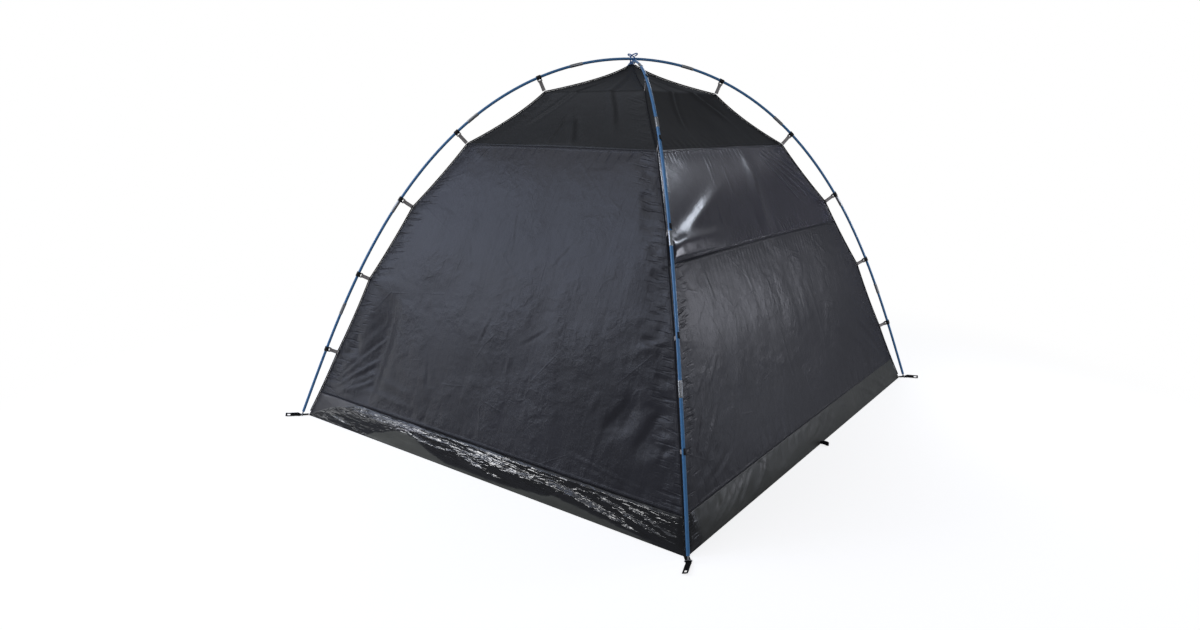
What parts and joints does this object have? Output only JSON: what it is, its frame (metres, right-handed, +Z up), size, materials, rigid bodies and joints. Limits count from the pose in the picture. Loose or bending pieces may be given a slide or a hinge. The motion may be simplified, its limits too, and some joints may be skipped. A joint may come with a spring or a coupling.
{
  "type": "tent",
  "caption": "Family dome tent: fabric inner tent with dark roof cap, tub floor and back door, hung by hooks under crossed bent poles on pinned feet",
  "frame": {"origin": "centre of the floor, on the ground plane", "axes": "+Z up, +Y out of the back wall with the door, -Y out of the front wall, +X out of the wall with the thin panel and the side peg loop"},
  "size_m": [2.2766, 2.554, 1.7072],
  "materials": {
    "cap_polyester": "coated polyester, near black, satin",
    "fibreglass": "gloss-lacquered blue fibreglass rod with a bright steel sleeve at one end",
    "foot_webbing": "flat polypropylene webbing, black, matte",
    "groundsheet": "coated woven polyethylene, dark grey, crinkled gloss",
    "hook_plastic": "moulded black acetal",
    "pin_steel": "zinc-plated steel wire",
    "slider_metal": "black lacquered zinc",
    "strap_webbing": "flat polypropylene webbing, mid grey, matte",
    "tie_cord": "braided blue cord",
    "vent_polyester": "thin translucent polyester, glossy",
    "wall_polyester": "coated plain-weave polyester, slate grey, satin"
  },
  "bodies": {
    "tent": {"tub_floor": "groundsheet", "wall_front": "wall_polyester", "wall_left": "wall_polyester", "wall_right": "wall_polyester", "vent_panel_right": "vent_polyester", "wall_back": "wall_polyester", "roof_cap": "cap_polyester", "pole_a_rod_1": "fibreglass", "pole_a_rod_2": "fibreglass", "pole_a_rod_3": "fibreglass", "pole_a_rod_4": "fibreglass", "pole_a_rod_5": "fibreglass", "pole_a_rod_6": "fibreglass", "pole_a_rod_7": "fibreglass", "pole_a_rod_8": "fibreglass", "pole_a_rod_9": "fibreglass", "pole_b_rod_1": "fibreglass", "pole_b_rod_2": "fibreglass", "pole_b_rod_3": "fibreglass", "pole_b_rod_4": "fibreglass", "pole_b_rod_5": "fibreglass", "pole_b_rod_6": "fibreglass", "pole_b_rod_7": "fibreglass", "pole_b_rod_8": "fibreglass", "pole_b_rod_9": "fibreglass", "ridge_tape_front_right": "strap_webbing", "ridge_tape_back_left": "strap_webbing", "ridge_tape_over_top": "strap_webbing", "foot_strap_front_left": "foot_webbing", "foot_strap_front_right": "foot_webbing", "foot_strap_back_right": "foot_webbing", "foot_strap_back_left": "foot_webbing", "foot_pin_front_left": "pin_steel", "foot_pin_back_right": "pin_steel", "foot_pin_front_right": "pin_steel", "foot_pin_back_left": "pin_steel", "peg_loop_right": "foot_webbing", "crossing_tie": "tie_cord"},
    "hook_front_left_1": {"hook_front_left_1": "hook_plastic"},
    "hook_front_left_2": {"hook_front_left_2": "hook_plastic"},
    "hook_front_left_3": {"hook_front_left_3": "hook_plastic"},
    "hook_front_left_4": {"hook_front_left_4": "hook_plastic"},
    "hook_front_left_5": {"hook_front_left_5": "hook_plastic"},
    "hook_front_right_1": {"hook_front_right_1": "hook_plastic"},
    "hook_front_right_2": {"hook_front_right_2": "hook_plastic"},
    "hook_front_right_3": {"hook_front_right_3": "hook_plastic"},
    "hook_front_right_4": {"hook_front_right_4": "hook_plastic"},
    "hook_front_right_5": {"hook_front_right_5": "hook_plastic"},
    "hook_back_right_1": {"hook_back_right_1": "hook_plastic"},
    "hook_back_right_2": {"hook_back_right_2": "hook_plastic"},
    "hook_back_right_3": {"hook_back_right_3": "hook_plastic"},
    "hook_back_right_4": {"hook_back_right_4": "hook_plastic"},
    "hook_back_right_5": {"hook_back_right_5": "hook_plastic"},
    "hook_back_left_1": {"hook_back_left_1": "hook_plastic"},
    "hook_back_left_2": {"hook_back_left_2": "hook_plastic"},
    "hook_back_left_3": {"hook_back_left_3": "hook_plastic"},
    "hook_back_left_4": {"hook_back_left_4": "hook_plastic"},
    "hook_back_left_5": {"hook_back_left_5": "hook_plastic"},
    "door_flap": {"door_flap": "wall_polyester"},
    "zip_slider": {"zip_slider": "slider_metal"}
  },
  "joints": [
    {"name": "hook_front_left_1_swing", "type": "hinge", "parent": "tent", "child": "hook_front_left_1", "pos_m": [-0.97323, -1.09148, 0.32316], "axis": [0.2645, 0.2966, 0.9176], "range_deg": [0, 70]},
    {"name": "hook_front_left_2_swing", "type": "hinge", "parent": "tent", "child": "hook_front_left_2", "pos_m": [-0.86192, -0.96664, 0.67844], "axis": [0.3078, 0.3452, 0.8866], "range_deg": [0, 70]},
    {"name": "hook_front_left_3_swing", "type": "hinge", "parent": "tent", "child": "hook_front_left_3", "pos_m": [-0.72255, -0.81034, 1.02424], "axis": [0.3867, 0.4337, 0.8138], "range_deg": [0, 70]},
    {"name": "hook_front_left_4_swing", "type": "hinge", "parent": "tent", "child": "hook_front_left_4", "pos_m": [-0.54623, -0.61259, 1.326], "axis": [0.493, 0.5528, 0.6718], "range_deg": [0, 70]},
    {"name": "hook_front_left_5_swing", "type": "hinge", "parent": "tent", "child": "hook_front_left_5", "pos_m": [-0.29406, -0.32978, 1.57273], "axis": [0.6124, 0.6868, 0.3916], "range_deg": [0, 70]},
    {"name": "hook_front_right_1_swing", "type": "hinge", "parent": "tent", "child": "hook_front_right_1", "pos_m": [0.9721, -1.09021, 0.32234], "axis": [-0.2679, 0.3005, 0.9154], "range_deg": [0, 70]},
    {"name": "hook_front_right_2_swing", "type": "hinge", "parent": "tent", "child": "hook_front_right_2", "pos_m": [0.85941, -0.96383, 0.67662], "axis": [-0.3114, 0.3492, 0.8838], "range_deg": [0, 70]},
    {"name": "hook_front_right_3_swing", "type": "hinge", "parent": "tent", "child": "hook_front_right_3", "pos_m": [0.71857, -0.80587, 1.02105], "axis": [-0.3905, 0.4379, 0.8098], "range_deg": [0, 70]},
    {"name": "hook_front_right_4_swing", "type": "hinge", "parent": "tent", "child": "hook_front_right_4", "pos_m": [0.54077, -0.60647, 1.32081], "axis": [-0.4966, 0.5569, 0.6658], "range_deg": [0, 70]},
    {"name": "hook_front_right_5_swing", "type": "hinge", "parent": "tent", "child": "hook_front_right_5", "pos_m": [0.28717, -0.32206, 1.56413], "axis": [-0.6148, 0.6895, 0.3828], "range_deg": [0, 70]},
    {"name": "hook_back_right_1_swing", "type": "hinge", "parent": "tent", "child": "hook_back_right_1", "pos_m": [0.97323, 1.09148, 0.32316], "axis": [0.2645, 0.2966, -0.9176], "range_deg": [0, 70]},
    {"name": "hook_back_right_2_swing", "type": "hinge", "parent": "tent", "child": "hook_back_right_2", "pos_m": [0.86192, 0.96664, 0.67844], "axis": [0.3078, 0.3452, -0.8866], "range_deg": [0, 70]},
    {"name": "hook_back_right_3_swing", "type": "hinge", "parent": "tent", "child": "hook_back_right_3", "pos_m": [0.72255, 0.81034, 1.02424], "axis": [0.3867, 0.4337, -0.8138], "range_deg": [0, 70]},
    {"name": "hook_back_right_4_swing", "type": "hinge", "parent": "tent", "child": "hook_back_right_4", "pos_m": [0.54623, 0.61259, 1.326], "axis": [0.493, 0.5528, -0.6718], "range_deg": [0, 70]},
    {"name": "hook_back_right_5_swing", "type": "hinge", "parent": "tent", "child": "hook_back_right_5", "pos_m": [0.29406, 0.32978, 1.57273], "axis": [0.6124, 0.6868, -0.3916], "range_deg": [0, 70]},
    {"name": "hook_back_left_1_swing", "type": "hinge", "parent": "tent", "child": "hook_back_left_1", "pos_m": [-0.9721, 1.09021, 0.32234], "axis": [-0.2679, 0.3005, -0.9154], "range_deg": [0, 70]},
    {"name": "hook_back_left_2_swing", "type": "hinge", "parent": "tent", "child": "hook_back_left_2", "pos_m": [-0.85941, 0.96383, 0.67662], "axis": [-0.3114, 0.3492, -0.8838], "range_deg": [0, 70]},
    {"name": "hook_back_left_3_swing", "type": "hinge", "parent": "tent", "child": "hook_back_left_3", "pos_m": [-0.71857, 0.80587, 1.02105], "axis": [-0.3905, 0.4379, -0.8098], "range_deg": [0, 70]},
    {"name": "hook_back_left_4_swing", "type": "hinge", "parent": "tent", "child": "hook_back_left_4", "pos_m": [-0.54077, 0.60647, 1.32081], "axis": [-0.4966, 0.5569, -0.6658], "range_deg": [0, 70]},
    {"name": "hook_back_left_5_swing", "type": "hinge", "parent": "tent", "child": "hook_back_left_5", "pos_m": [-0.28717, 0.32206, 1.56413], "axis": [-0.6148, 0.6895, -0.3828], "range_deg": [0, 70]},
    {"name": "door_flap_hinge", "type": "hinge", "parent": "tent", "child": "door_flap", "pos_m": [0, 1.11237, 0.1706], "axis": [-1, 0, 0], "range_deg": [0, 115]},
    {"name": "zip_slider_slide", "type": "slide", "parent": "door_flap", "child": "zip_slider", "axis": [0, -0.3772, 0.9261], "range_m": [0, 0.085]}
  ]
}
